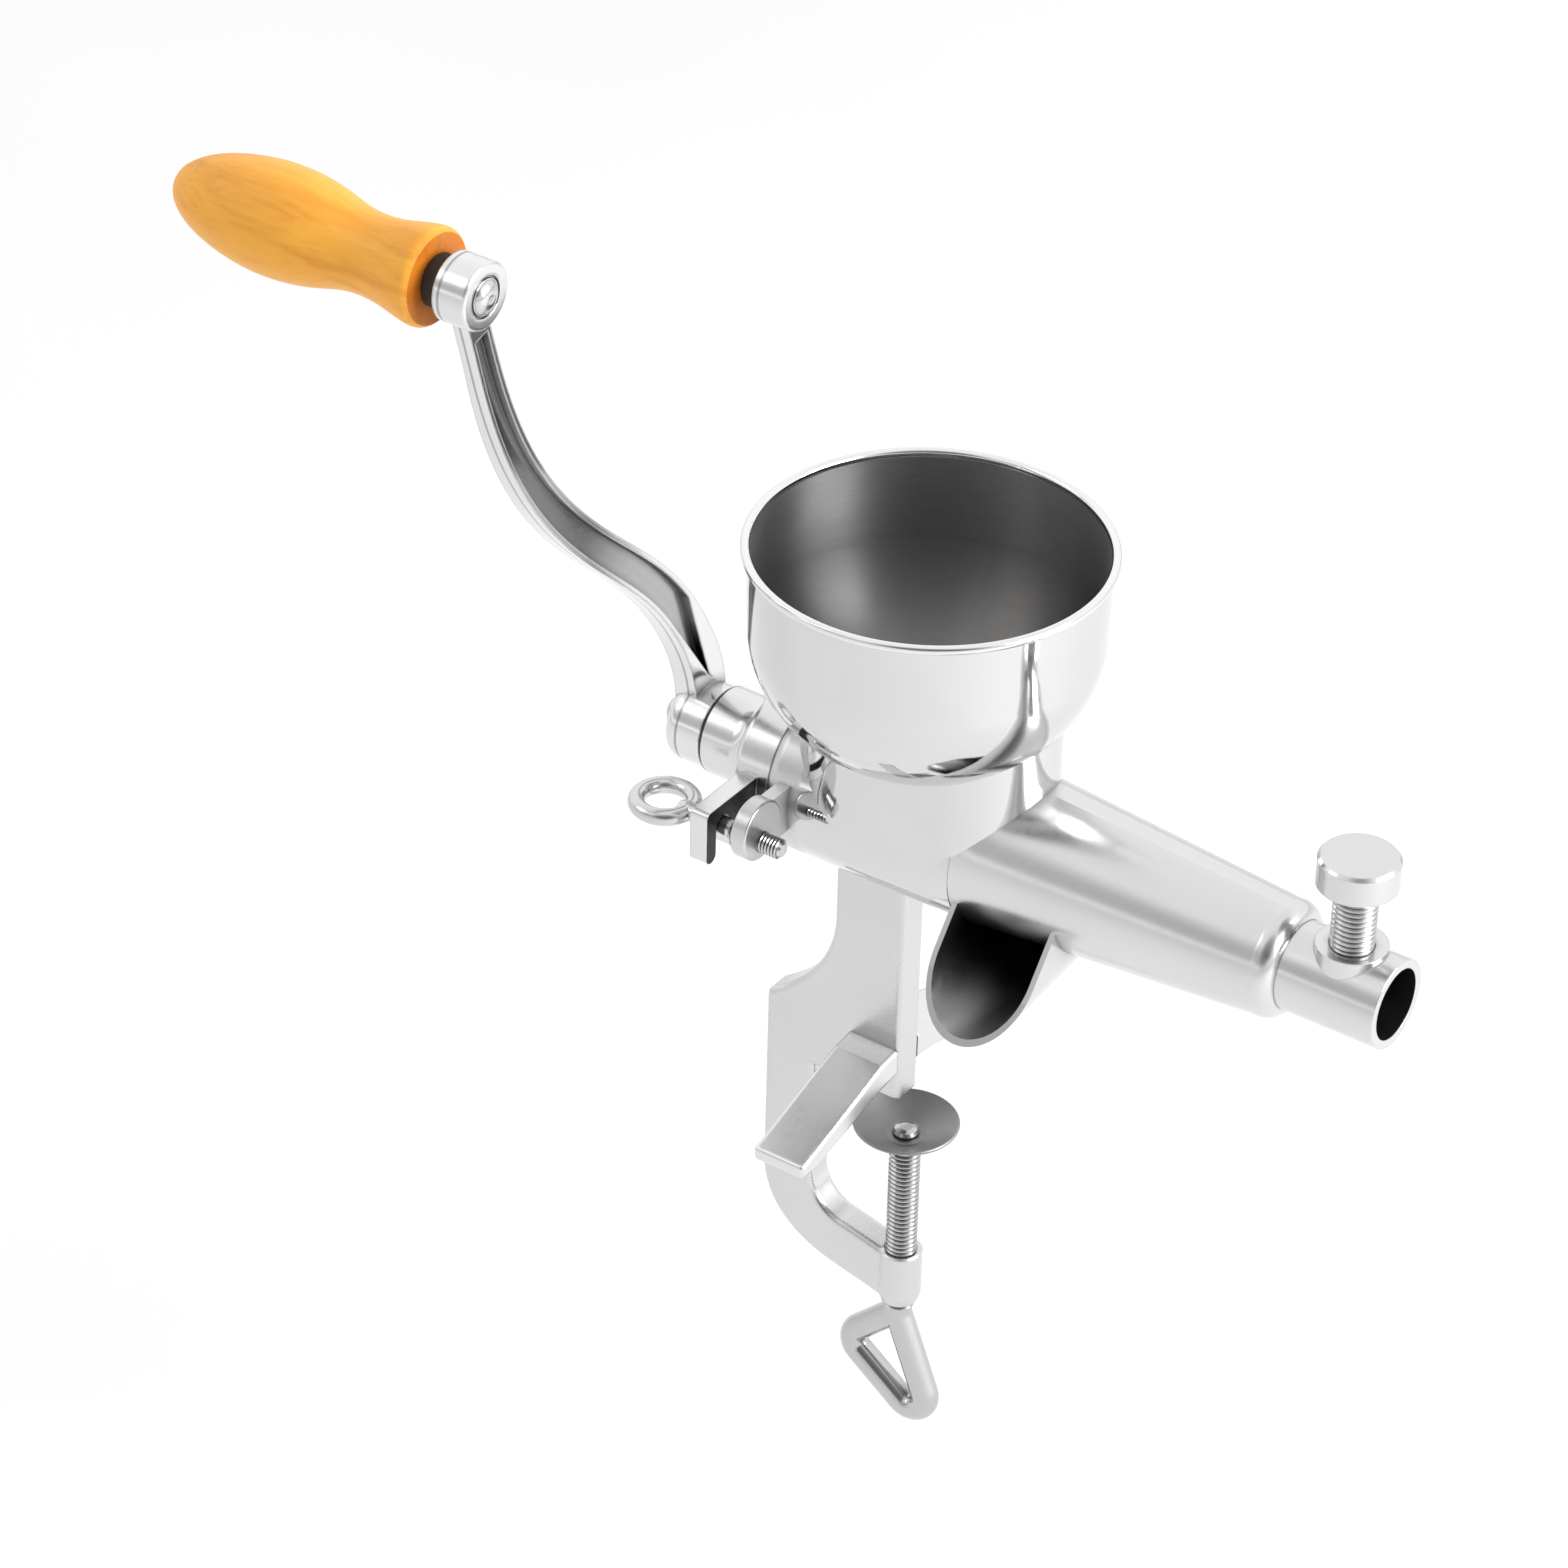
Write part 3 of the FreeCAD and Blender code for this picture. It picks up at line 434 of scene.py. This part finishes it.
# ---------------------------------------------------------------- floor
bpy.ops.mesh.primitive_plane_add(size=14.0, location=(0, 0, -0.156))
floor = bpy.context.object
floor.name = "floor"
fm, nt, b = new_mat("pale_floor")
n = noise(nt, mapping(nt), 3.0, 2.0)
c = ramp(nt, n, "Fac", [(0.3, (0.62, 0.62, 0.62)), (0.7, (0.64, 0.64, 0.64))])
link(nt, c, "Color", b, "Base Color")
b.inputs["Roughness"].default_value = 0.9
b.inputs["Emission Color"].default_value = (1, 1, 1, 1)
b.inputs["Emission Strength"].default_value = 0.20
floor.data.materials.append(fm)

# ---------------------------------------------------------------- world and lights
w = bpy.data.worlds.new("studio")
scene.world = w
w.use_nodes = True
nt = w.node_tree
bg = nt.nodes["Background"]
tc = add(nt, "ShaderNodeTexCoord")
sp = add(nt, "ShaderNodeSeparateXYZ")
link(nt, tc, "Generated", sp, "Vector")
mr = add(nt, "ShaderNodeMapRange")
mr.inputs["From Min"].default_value = -1.0
mr.inputs["From Max"].default_value = 1.0
link(nt, sp, "Z", mr, "Value")
g = ramp(nt, mr, "Result", [(0.495, 0.72), (0.502, 0.16), (0.510, 0.18), (0.522, 0.95), (0.552, 0.95), (0.61, 0.80), (0.70, 0.86), (0.78, 0.88), (0.90, 0.80), (1.0, 0.78)])
flag = add(nt, "ShaderNodeVectorMath", operation="DOT_PRODUCT")        # a dark flag on the front side of the studio
flag.inputs[1].default_value = (0.462, -0.684, 0.565)
link(nt, tc, "Generated", flag, 0)
shade = add(nt, "ShaderNodeMapRange", interpolation_type="SMOOTHSTEP")
for k, v in (("From Min", 0.80), ("From Max", 0.98), ("To Min", 1.0), ("To Max", 0.30)):
    shade.inputs[k].default_value = v
nt.links.new(flag.outputs["Value"], shade.inputs["Value"])
front = add(nt, "ShaderNodeMapRange", interpolation_type="SMOOTHSTEP")      # a dimmer band on the front half, above the low bright one
for k, v in (("From Min", 0.05), ("From Max", -0.5), ("To Min", 0.0), ("To Max", 0.5)):
    front.inputs[k].default_value = v
link(nt, sp, "Y", front, "Value")
above = add(nt, "ShaderNodeMapRange", interpolation_type="SMOOTHSTEP")
for k, v in (("From Min", 0.09), ("From Max", 0.22), ("To Min", 0.0), ("To Max", 1.0)):
    above.inputs[k].default_value = v
link(nt, sp, "Z", above, "Value")
below = add(nt, "ShaderNodeMapRange", interpolation_type="SMOOTHSTEP")
for k, v in (("From Min", 0.45), ("From Max", 0.78), ("To Min", 1.0), ("To Max", 0.1)):
    below.inputs[k].default_value = v
link(nt, sp, "Z", below, "Value")
band = add(nt, "ShaderNodeMath", operation="MULTIPLY")
nt.links.new(above.outputs["Result"], band.inputs[0])
nt.links.new(below.outputs["Result"], band.inputs[1])
both = add(nt, "ShaderNodeMath", operation="MULTIPLY")
nt.links.new(front.outputs["Result"], both.inputs[0])
nt.links.new(band.outputs["Value"], both.inputs[1])
rest = add(nt, "ShaderNodeMath", operation="SUBTRACT")
rest.inputs[0].default_value = 1.0
nt.links.new(both.outputs["Value"], rest.inputs[1])
total = add(nt, "ShaderNodeMath", operation="MULTIPLY")
nt.links.new(rest.outputs["Value"], total.inputs[0])
nt.links.new(shade.outputs["Result"], total.inputs[1])
lit = add(nt, "ShaderNodeVectorMath", operation="SCALE")
link(nt, g, "Color", lit, 0)
nt.links.new(total.outputs["Value"], lit.inputs["Scale"])
link(nt, lit, "Vector", bg, "Color")
bg.inputs["Strength"].default_value = 1.4


def area(name, loc, target, size, power):
    d = bpy.data.lights.new(name, "AREA")
    d.shape = "RECTANGLE"
    d.size, d.size_y = size
    d.energy = power
    o = bpy.data.objects.new(name, d)
    scene.collection.objects.link(o)
    o.location = loc
    o.rotation_euler = (Vector(target) - Vector(loc)).to_track_quat("-Z", "Y").to_euler()
    return o


mid = (0.02, 0.0, 0.1)
area("key", (1.54, 0.30, 0.80), mid, (1.1, 0.75), 31.0)
area("fill", (-1.3, -0.9, 1.3), mid, (1.0, 1.0), 3.0)

# ---------------------------------------------------------------- camera
az, el, roll = math.radians(34.036), math.radians(34.388), math.radians(1.583)
back = Vector((math.sin(az) * math.cos(el), -math.cos(az) * math.cos(el), math.sin(el)))
right = Vector((math.cos(az), math.sin(az), 0.0))
up = back.cross(right)
rr = right * math.cos(roll) + up * math.sin(roll)
uu = up * math.cos(roll) - right * math.sin(roll)
eye = Vector((0.7132904 + BX, -1.1216433, 0.9162962 + BZ))
cam = bpy.data.cameras.new("camera")
cam.sensor_fit = "HORIZONTAL"
cam.sensor_width = 36.0
cam.lens = 36.0 * 6000.0 / 1568.0
co = bpy.data.objects.new("camera", cam)
scene.collection.objects.link(co)
co.matrix_world = Matrix(((rr.x, uu.x, back.x, eye.x), (rr.y, uu.y, back.y, eye.y), (rr.z, uu.z, back.z, eye.z), (0, 0, 0, 1)))
scene.camera = co

bpy.context.view_layer.update()
